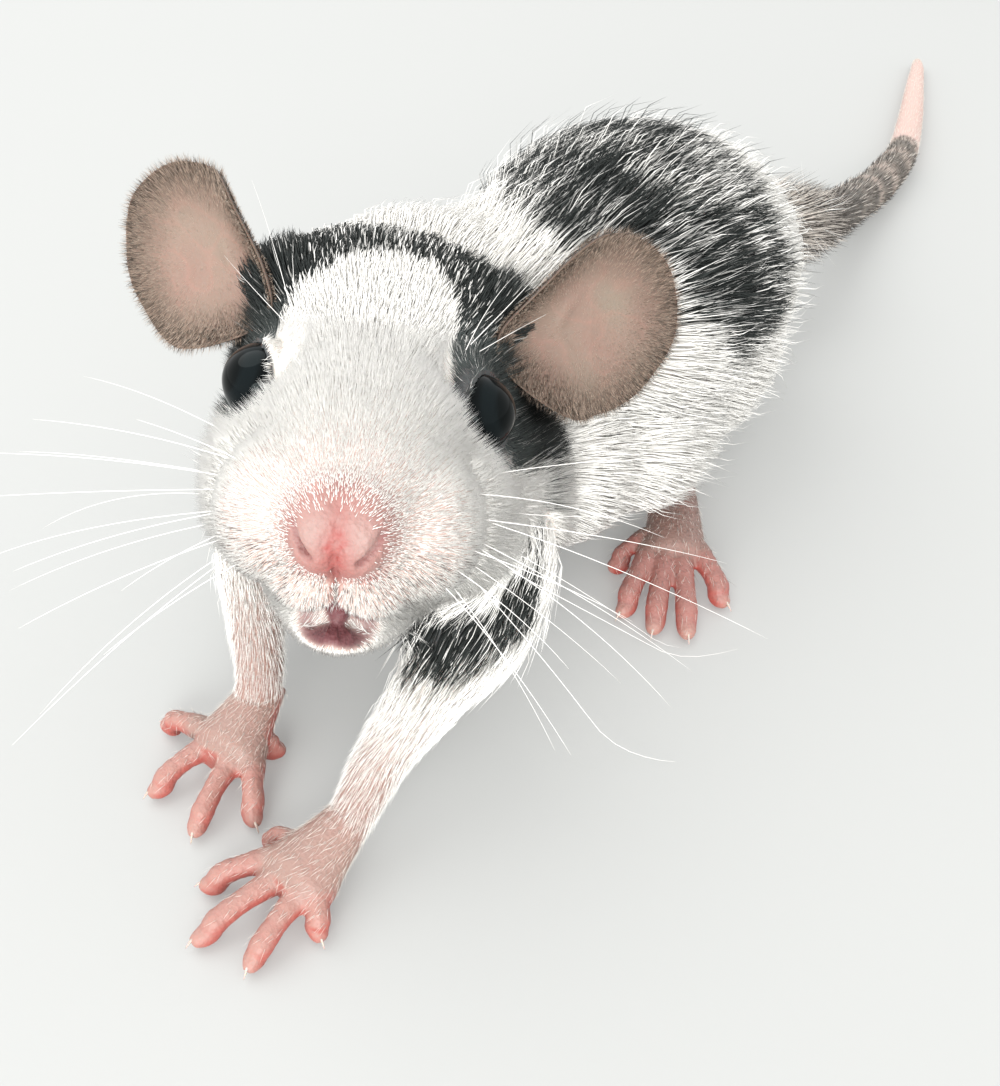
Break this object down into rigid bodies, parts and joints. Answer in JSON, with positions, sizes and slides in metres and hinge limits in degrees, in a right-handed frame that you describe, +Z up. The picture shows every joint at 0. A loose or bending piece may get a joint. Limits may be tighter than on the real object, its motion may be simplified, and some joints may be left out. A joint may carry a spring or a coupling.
{
  "type": "pet rat figure",
  "caption": "Young black-and-white fancy rat standing on all fours, head raised and turned to its left, round ears, long whiskers and tail trailing on the floor.",
  "frame": {"origin": "on the floor, under the centre of the whole figure's box", "axes": "+Z up, the body faces -Y, the rat's left side is +X, the tail trails towards +Y"},
  "size_m": [0.0536, 0.1714, 0.0321],
  "materials": {
    "white_coat": "short soft white fur",
    "dark_coat": "soft black and grey fur with white hairs in it",
    "face_coat": "very short pale fur with pink skin showing through",
    "eye": "wet black",
    "ear": "thin brown-pink skin with fine short hairs",
    "bare_skin": "bare pink skin",
    "tail_dark": "grey-brown haired skin with paler bands",
    "tail_pink": "pink skin with fine rings"
  },
  "bodies": {
    "root": {"head": "white_coat", "muzzle": "face_coat", "jaw": "face_coat", "eye_left": "eye", "eye_right": "eye", "ear_left": "ear", "ear_right": "ear", "neck": "white_coat", "chest": "white_coat", "rump": "dark_coat", "upper_arm_left": "white_coat", "upper_arm_right": "white_coat", "forearm_left": "face_coat", "forearm_right": "face_coat", "forepaw_left": "bare_skin", "forepaw_right": "bare_skin", "thigh_left": "white_coat", "thigh_right": "white_coat", "hindpaw_left": "bare_skin", "hindpaw_right": "bare_skin", "tail_base": "tail_dark", "tail_middle": "tail_dark", "tail_tip": "tail_pink"}
  },
  "joints": []
}
